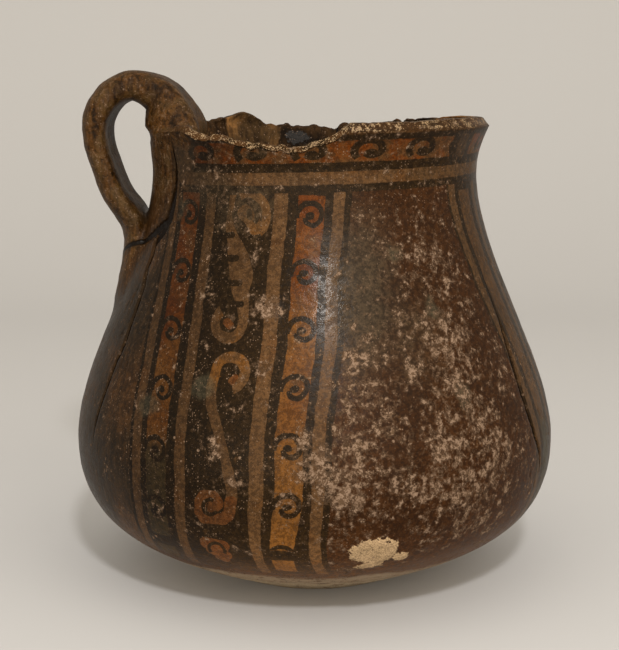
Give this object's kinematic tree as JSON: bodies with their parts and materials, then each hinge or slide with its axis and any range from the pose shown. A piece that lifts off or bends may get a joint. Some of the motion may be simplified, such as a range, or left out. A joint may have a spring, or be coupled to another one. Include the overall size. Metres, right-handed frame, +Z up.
{
  "type": "painted pottery jug",
  "caption": "Ancient pear-shaped pottery jug with a flared broken rim, a strap handle from rim to shoulder, and worn painted panels of stripes and scrolls.",
  "frame": {"origin": "centre of the flat underside that the jug stands on", "axes": "+Z up along the vessel's axis, -Y towards the viewer of the painted front, handle towards -X"},
  "size_m": [0.15, 0.15, 0.1569],
  "materials": {
    "painted_clay": "burnished slip, worn paint and mineral crust"
  },
  "bodies": {
    "root": {"jug": "painted_clay"}
  },
  "joints": []
}
